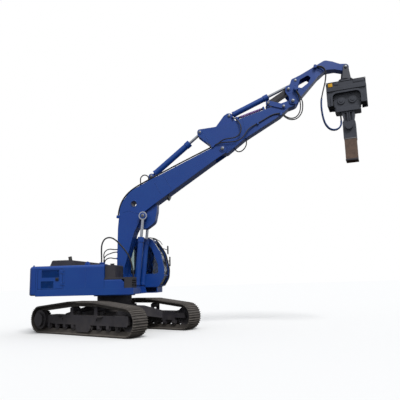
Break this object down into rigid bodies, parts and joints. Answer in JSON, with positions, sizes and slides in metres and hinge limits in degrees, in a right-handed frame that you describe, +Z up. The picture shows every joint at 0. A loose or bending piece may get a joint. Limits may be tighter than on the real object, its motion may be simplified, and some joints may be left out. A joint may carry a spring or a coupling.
{
  "type": "pile driver rig",
  "caption": "Crawler excavator with a raised gooseneck boom and stick, whose hinged tip arm carries a hanging vibratory pile hammer with a square pile sleeve.",
  "frame": {"origin": "on the ground under the slewing axis, at the mount ground_datum", "axes": "+X forward along the boom, +Y to the left (cab side), +Z up; the tracks stand turned by -30.8 degrees under the house"},
  "size_m": [12.1322, 5.3412, 9.229],
  "materials": {
    "blue_paint": "satin",
    "dark_paint": "satin",
    "track_steel": "worn",
    "cast_ballast": "painted",
    "engine_iron": "raw",
    "chrome_rod": "polished",
    "window_glass": "clear",
    "seat_fabric": "woven",
    "hammer_paint": "satin",
    "pad_rubber": "matt",
    "hose_rubber": "matt",
    "rusty_steel": "rusty"
  },
  "bodies": {
    "undercarriage": {"car_body": "dark_paint", "slew_ring": "dark_paint", "track_right": "track_steel", "track_left": "track_steel", "idler_right": "dark_paint", "idler_left": "dark_paint", "sprocket_right": "dark_paint", "sprocket_left": "dark_paint", "rollers_right": "dark_paint", "rollers_left": "dark_paint", "track_frame_right": "dark_paint", "track_frame_left": "dark_paint"},
    "house": {"revolving_frame": "blue_paint", "counterweight": "cast_ballast", "engine_block": "engine_iron", "engine_roof": "blue_paint", "exhaust": "dark_paint", "housing_right": "blue_paint", "housing_left": "blue_paint", "front_box": "blue_paint", "tank": "dark_paint", "cab_shell": "blue_paint", "cab_glass": "window_glass", "operator_seat": "seat_fabric", "front_step": "dark_paint", "arch_hose": "hose_rubber", "foot_hoses": "hose_rubber"},
    "hood_lid": {"engine_hood": "dark_paint"},
    "right_door": {"door_right": "blue_paint"},
    "left_door": {"door_left": "blue_paint"},
    "cab_entry": {"cab_door": "blue_paint"},
    "boom_body": {"boom": "blue_paint", "base_loops": "hose_rubber", "boom_lines": "hose_rubber", "elbow_hoses": "hose_rubber"},
    "lift_barrel_pair": {"lift_barrels": "blue_paint"},
    "lift_rod_pair": {"lift_rods": "chrome_rod"},
    "stick_body": {"stick": "blue_paint", "stick_lines": "hose_rubber", "tip_hoses": "hose_rubber"},
    "stick_barrel_body": {"stick_barrel": "blue_paint"},
    "stick_rod_body": {"stick_rod": "chrome_rod"},
    "tip_body": {"tip_arm": "blue_paint", "hammer_hose": "hose_rubber"},
    "tip_barrel_body": {"tip_barrel": "blue_paint"},
    "tip_rod_body": {"tip_rod": "chrome_rod"},
    "guide_body": {"guide_links": "blue_paint"},
    "tie_body": {"tie_link": "dark_paint"},
    "yoke_body": {"yoke": "hammer_paint"},
    "hammer": {"rotator": "hammer_paint", "hammer_hood": "hammer_paint", "exciter": "hammer_paint", "shock_pads": "pad_rubber", "clamp_body": "hammer_paint", "pile_sleeve": "rusty_steel", "hammer_hose_end": "hose_rubber"},
    "jaw": {"clamp_jaw": "hammer_paint"}
  },
  "joints": [
    {"name": "slew", "type": "hinge", "parent": "undercarriage", "child": "house", "pos_m": [0, 0, 1.2], "axis": [0, 0, 1], "continuous": true},
    {"name": "boom_lift", "type": "hinge", "parent": "house", "child": "boom_body", "pos_m": [0.28, 0, 1.85], "axis": [0, -1, 0], "range_deg": [-35, 12], "deforming": ["foot_hoses"]},
    {"name": "lift_barrel_pivot", "type": "hinge", "parent": "house", "child": "lift_barrel_pair", "pos_m": [0.88, 0, 1.38], "axis": [0, -1, 0], "range_deg": [-35, 14]},
    {"name": "lift_rod_slide", "type": "slide", "parent": "lift_barrel_pair", "child": "lift_rod_pair", "axis": [0.0952, 0, 0.9955], "range_m": [-0.5, 0.2]},
    {"name": "stick_swing", "type": "hinge", "parent": "boom_body", "child": "stick_body", "pos_m": [3.95, 0, 6.17], "axis": [0, 1, 0], "range_deg": [-15, 45], "deforming": ["elbow_hoses"]},
    {"name": "stick_barrel_pivot", "type": "hinge", "parent": "boom_body", "child": "stick_barrel_body", "pos_m": [1.35, 0, 5.36], "axis": [0, 1, 0], "range_deg": [-3, 3]},
    {"name": "stick_rod_slide", "type": "slide", "parent": "stick_barrel_body", "child": "stick_rod_body", "axis": [0.7703, 0, 0.6377], "range_m": [-0.3, 0.82]},
    {"name": "tip_curl", "type": "hinge", "parent": "stick_body", "child": "tip_body", "pos_m": [6.49, 0, 7.78], "axis": [0, 1, 0], "range_deg": [-8, 38], "deforming": ["tip_hoses"]},
    {"name": "tip_barrel_pivot", "type": "hinge", "parent": "stick_body", "child": "tip_barrel_body", "pos_m": [4.22, 0, 7.43], "axis": [0, 1, 0], "range_deg": [-3, 12]},
    {"name": "tip_rod_slide", "type": "slide", "parent": "tip_barrel_body", "child": "tip_rod_body", "axis": [0.9076, 0, 0.4198], "range_m": [-0.12, 0.42]},
    {"name": "guide_pivot", "type": "hinge", "parent": "stick_body", "child": "guide_body", "pos_m": [6.16, 0, 7.6], "axis": [0, 1, 0], "range_deg": [-9, 40]},
    {"name": "tie_pivot", "type": "hinge", "parent": "tip_body", "child": "tie_body", "pos_m": [6.36, 0, 8.23], "axis": [0, -1, 0], "range_deg": [-6, 20]},
    {"name": "yoke_swing", "type": "hinge", "parent": "tip_body", "child": "yoke_body", "pos_m": [8.41, 0, 8.95], "axis": [0, -1, 0], "range_deg": [-20, 75], "deforming": ["hammer_hose"]},
    {"name": "hammer_turn", "type": "hinge", "parent": "yoke_body", "child": "hammer", "pos_m": [8.41, 0, 8.4], "axis": [0, 0, 1], "continuous": true, "deforming": ["hammer_hose_end"]},
    {"name": "jaw_slide", "type": "slide", "parent": "hammer", "child": "jaw", "axis": [0.9636, -0.2672, 0], "range_m": [0, 0.1]},
    {"name": "cab_door_hinge", "type": "hinge", "parent": "house", "child": "cab_entry", "pos_m": [0.384, 1.492, 2.2], "axis": [0, 0, 1], "range_deg": [0, 100]},
    {"name": "hood_hinge", "type": "hinge", "parent": "house", "child": "hood_lid", "pos_m": [-1.24, -0.572, 2.228], "axis": [1, 0, 0], "range_deg": [0, 60]},
    {"name": "right_door_hinge", "type": "hinge", "parent": "house", "child": "right_door", "pos_m": [-1.284, -1.502, 1.8], "axis": [0, 0, 1], "range_deg": [0, 100]},
    {"name": "left_door_hinge", "type": "hinge", "parent": "house", "child": "left_door", "pos_m": [-1.284, 1.502, 1.8], "axis": [0, 0, -1], "range_deg": [0, 100]}
  ],
  "couplings": [
    {"joint": "lift_barrel_pivot", "follows": "boom_lift", "ratio": 0.8769},
    {"joint": "lift_rod_slide", "follows": "boom_lift", "m_per_rad": 0.7061},
    {"joint": "stick_barrel_pivot", "follows": "stick_swing", "ratio": 0.0325},
    {"joint": "stick_rod_slide", "follows": "stick_swing", "m_per_rad": 0.999},
    {"joint": "tip_barrel_pivot", "follows": "tip_curl", "ratio": 0.1997},
    {"joint": "tip_rod_slide", "follows": "tip_curl", "m_per_rad": 0.5251},
    {"joint": "guide_pivot", "follows": "tip_curl", "ratio": 0.9315},
    {"joint": "tie_pivot", "follows": "tip_curl", "ratio": 0.4613}
  ]
}
